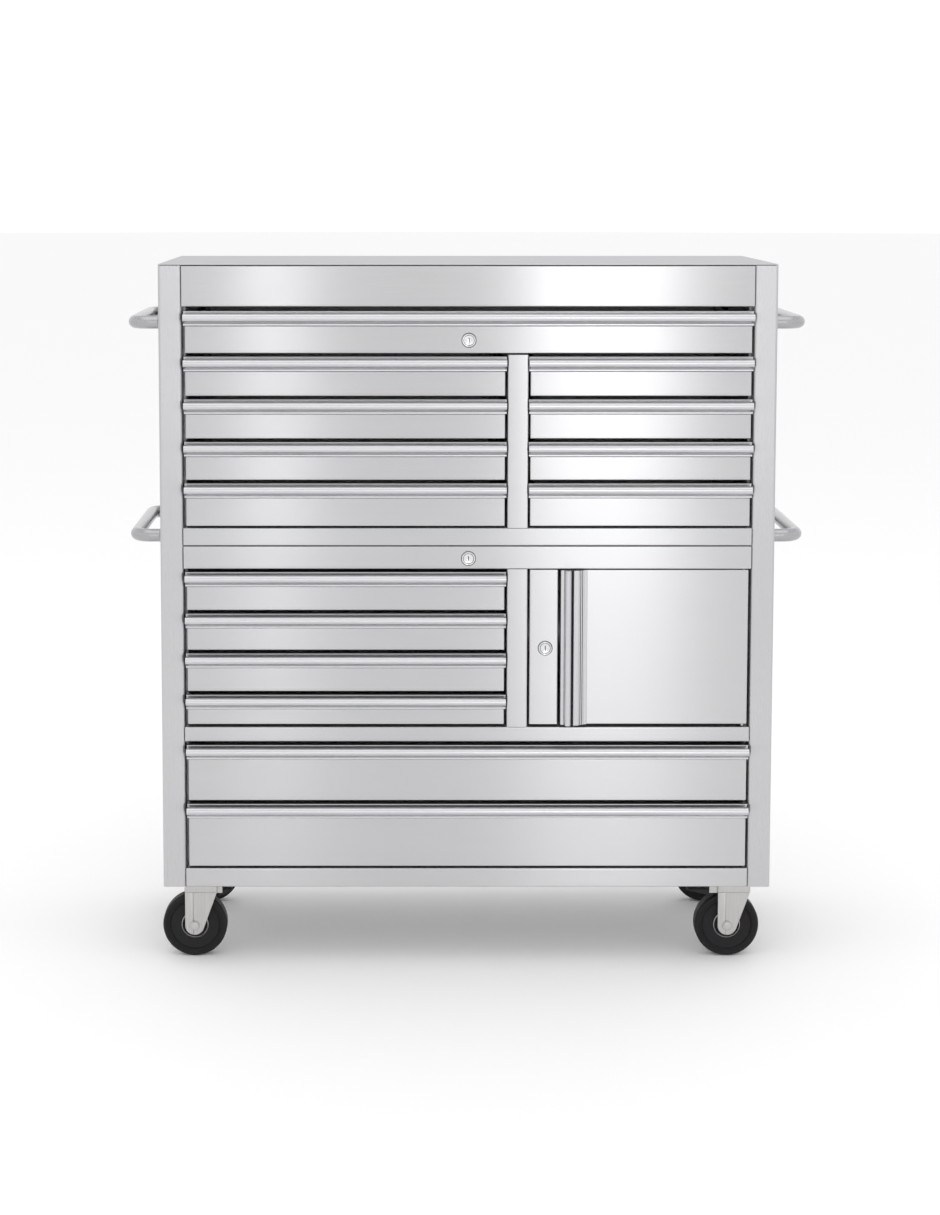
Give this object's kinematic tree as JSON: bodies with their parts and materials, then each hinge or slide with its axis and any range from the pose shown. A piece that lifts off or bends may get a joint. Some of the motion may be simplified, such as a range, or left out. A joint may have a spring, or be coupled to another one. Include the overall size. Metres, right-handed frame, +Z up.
{
  "type": "rolling tool chest",
  "caption": "Stainless rolling tool chest with full-width, left and right banks of pull drawers, a hinged door, key locks, side handles and braked swivel casters.",
  "frame": {"origin": "centre of the overall box, on the floor", "axes": "+Z up, -Y out of the drawer fronts, +X to the right seen from the front"},
  "size_m": [1.3, 0.4756, 1.353],
  "materials": {
    "stainless": "brushed, horizontal grain on the fronts",
    "aluminium": "satin anodised extrusion",
    "handle_steel": "satin tube",
    "chrome": "polished plate",
    "zinc_steel": "bright zinc plate",
    "tyre": "moulded rubber with fine rings",
    "black_steel": "black, slightly glossy"
  },
  "bodies": {
    "cabinet": {"left_side_panel": "stainless", "right_side_panel": "stainless", "top_panel": "stainless", "back_panel": "stainless", "base_pan": "stainless", "upper_rail": "stainless", "lock_rail": "stainless", "lower_rail": "stainless", "upper_divider": "stainless", "lower_divider": "stainless", "lock_stile": "stainless", "upper_left_handle": "handle_steel", "upper_right_handle": "handle_steel", "lower_left_handle": "handle_steel", "lower_right_handle": "handle_steel"},
    "top_drawer": {"top_drawer": "stainless", "top_drawer_pull": "aluminium"},
    "upper_left_drawer_1": {"upper_left_drawer_1": "stainless", "upper_left_drawer_1_pull": "aluminium"},
    "upper_left_drawer_2": {"upper_left_drawer_2": "stainless", "upper_left_drawer_2_pull": "aluminium"},
    "upper_left_drawer_3": {"upper_left_drawer_3": "stainless", "upper_left_drawer_3_pull": "aluminium"},
    "upper_left_drawer_4": {"upper_left_drawer_4": "stainless", "upper_left_drawer_4_pull": "aluminium"},
    "upper_right_drawer_1": {"upper_right_drawer_1": "stainless", "upper_right_drawer_1_pull": "aluminium"},
    "upper_right_drawer_2": {"upper_right_drawer_2": "stainless", "upper_right_drawer_2_pull": "aluminium"},
    "upper_right_drawer_3": {"upper_right_drawer_3": "stainless", "upper_right_drawer_3_pull": "aluminium"},
    "upper_right_drawer_4": {"upper_right_drawer_4": "stainless", "upper_right_drawer_4_pull": "aluminium"},
    "lower_left_drawer_1": {"lower_left_drawer_1": "stainless", "lower_left_drawer_1_pull": "aluminium"},
    "lower_left_drawer_2": {"lower_left_drawer_2": "stainless", "lower_left_drawer_2_pull": "aluminium"},
    "lower_left_drawer_3": {"lower_left_drawer_3": "stainless", "lower_left_drawer_3_pull": "aluminium"},
    "lower_left_drawer_4": {"lower_left_drawer_4": "stainless", "lower_left_drawer_4_pull": "aluminium"},
    "bottom_drawer_1": {"bottom_drawer_1": "stainless", "bottom_drawer_1_pull": "aluminium"},
    "bottom_drawer_2": {"bottom_drawer_2": "stainless", "bottom_drawer_2_pull": "aluminium"},
    "door": {"door_panel": "stainless", "door_pull": "aluminium"},
    "top_drawer_lock_plug": {"top_drawer_lock": "chrome"},
    "rail_lock_plug": {"rail_lock": "chrome"},
    "door_lock_plug": {"door_lock": "chrome"},
    "front_left_caster": {"front_left_caster_fork": "zinc_steel"},
    "front_left_roller": {"front_left_wheel": "tyre"},
    "front_left_brake": {"front_left_brake_pedal": "black_steel"},
    "front_right_caster": {"front_right_caster_fork": "zinc_steel"},
    "front_right_roller": {"front_right_wheel": "tyre"},
    "front_right_brake": {"front_right_brake_pedal": "black_steel"},
    "rear_left_caster": {"rear_left_caster_fork": "zinc_steel"},
    "rear_left_roller": {"rear_left_wheel": "tyre"},
    "rear_right_caster": {"rear_right_caster_fork": "zinc_steel"},
    "rear_right_roller": {"rear_right_wheel": "tyre"}
  },
  "joints": [
    {"name": "top_drawer_slide", "type": "slide", "parent": "cabinet", "child": "top_drawer", "axis": [0, -1, 0], "range_m": [0, 0.38]},
    {"name": "upper_left_drawer_1_slide", "type": "slide", "parent": "cabinet", "child": "upper_left_drawer_1", "axis": [0, -1, 0], "range_m": [0, 0.38]},
    {"name": "upper_left_drawer_2_slide", "type": "slide", "parent": "cabinet", "child": "upper_left_drawer_2", "axis": [0, -1, 0], "range_m": [0, 0.38]},
    {"name": "upper_left_drawer_3_slide", "type": "slide", "parent": "cabinet", "child": "upper_left_drawer_3", "axis": [0, -1, 0], "range_m": [0, 0.38]},
    {"name": "upper_left_drawer_4_slide", "type": "slide", "parent": "cabinet", "child": "upper_left_drawer_4", "axis": [0, -1, 0], "range_m": [0, 0.38]},
    {"name": "upper_right_drawer_1_slide", "type": "slide", "parent": "cabinet", "child": "upper_right_drawer_1", "axis": [0, -1, 0], "range_m": [0, 0.38]},
    {"name": "upper_right_drawer_2_slide", "type": "slide", "parent": "cabinet", "child": "upper_right_drawer_2", "axis": [0, -1, 0], "range_m": [0, 0.38]},
    {"name": "upper_right_drawer_3_slide", "type": "slide", "parent": "cabinet", "child": "upper_right_drawer_3", "axis": [0, -1, 0], "range_m": [0, 0.38]},
    {"name": "upper_right_drawer_4_slide", "type": "slide", "parent": "cabinet", "child": "upper_right_drawer_4", "axis": [0, -1, 0], "range_m": [0, 0.38]},
    {"name": "lower_left_drawer_1_slide", "type": "slide", "parent": "cabinet", "child": "lower_left_drawer_1", "axis": [0, -1, 0], "range_m": [0, 0.38]},
    {"name": "lower_left_drawer_2_slide", "type": "slide", "parent": "cabinet", "child": "lower_left_drawer_2", "axis": [0, -1, 0], "range_m": [0, 0.38]},
    {"name": "lower_left_drawer_3_slide", "type": "slide", "parent": "cabinet", "child": "lower_left_drawer_3", "axis": [0, -1, 0], "range_m": [0, 0.38]},
    {"name": "lower_left_drawer_4_slide", "type": "slide", "parent": "cabinet", "child": "lower_left_drawer_4", "axis": [0, -1, 0], "range_m": [0, 0.38]},
    {"name": "bottom_drawer_1_slide", "type": "slide", "parent": "cabinet", "child": "bottom_drawer_1", "axis": [0, -1, 0], "range_m": [0, 0.38]},
    {"name": "bottom_drawer_2_slide", "type": "slide", "parent": "cabinet", "child": "bottom_drawer_2", "axis": [0, -1, 0], "range_m": [0, 0.38]},
    {"name": "door_hinge", "type": "hinge", "parent": "cabinet", "child": "door", "pos_m": [0.5271, -0.21115, 0.6226], "axis": [0, 0, 1], "range_deg": [0, 110]},
    {"name": "top_drawer_lock_turn", "type": "hinge", "parent": "top_drawer", "child": "top_drawer_lock_plug", "pos_m": [0.002, -0.21915, 1.2097], "axis": [0, -1, 0], "range_deg": [0, 90]},
    {"name": "rail_lock_turn", "type": "hinge", "parent": "cabinet", "child": "rail_lock_plug", "pos_m": [0.002, -0.21915, 0.7938], "axis": [0, -1, 0], "range_deg": [0, 90]},
    {"name": "door_lock_turn", "type": "hinge", "parent": "cabinet", "child": "door_lock_plug", "pos_m": [0.1488, -0.21915, 0.6208], "axis": [0, -1, 0], "range_deg": [0, 90]},
    {"name": "front_left_swivel", "type": "hinge", "parent": "cabinet", "child": "front_left_caster", "pos_m": [-0.519, -0.15415, 0.143], "axis": [0, 0, 1], "continuous": true},
    {"name": "front_left_roll", "type": "hinge", "parent": "front_left_caster", "child": "front_left_roller", "pos_m": [-0.5285, -0.15415, 0.0625], "axis": [0, 1, 0], "continuous": true},
    {"name": "front_left_brake_press", "type": "hinge", "parent": "front_left_caster", "child": "front_left_brake", "pos_m": [-0.479, -0.15415, 0.131], "axis": [0, 1, 0], "range_deg": [0, 12]},
    {"name": "front_right_swivel", "type": "hinge", "parent": "cabinet", "child": "front_right_caster", "pos_m": [0.519, -0.15415, 0.143], "axis": [0, 0, 1], "continuous": true},
    {"name": "front_right_roll", "type": "hinge", "parent": "front_right_caster", "child": "front_right_roller", "pos_m": [0.5095, -0.15415, 0.0625], "axis": [0, 1, 0], "continuous": true},
    {"name": "front_right_brake_press", "type": "hinge", "parent": "front_right_caster", "child": "front_right_brake", "pos_m": [0.479, -0.15415, 0.131], "axis": [0, -1, 0], "range_deg": [0, 12]},
    {"name": "rear_left_swivel", "type": "hinge", "parent": "cabinet", "child": "rear_left_caster", "pos_m": [-0.519, 0.17285, 0.143], "axis": [0, 0, 1], "continuous": true},
    {"name": "rear_left_roll", "type": "hinge", "parent": "rear_left_caster", "child": "rear_left_roller", "pos_m": [-0.5285, 0.17285, 0.0625], "axis": [0, 1, 0], "continuous": true},
    {"name": "rear_right_swivel", "type": "hinge", "parent": "cabinet", "child": "rear_right_caster", "pos_m": [0.519, 0.17285, 0.143], "axis": [0, 0, 1], "continuous": true},
    {"name": "rear_right_roll", "type": "hinge", "parent": "rear_right_caster", "child": "rear_right_roller", "pos_m": [0.5095, 0.17285, 0.0625], "axis": [0, 1, 0], "continuous": true}
  ]
}
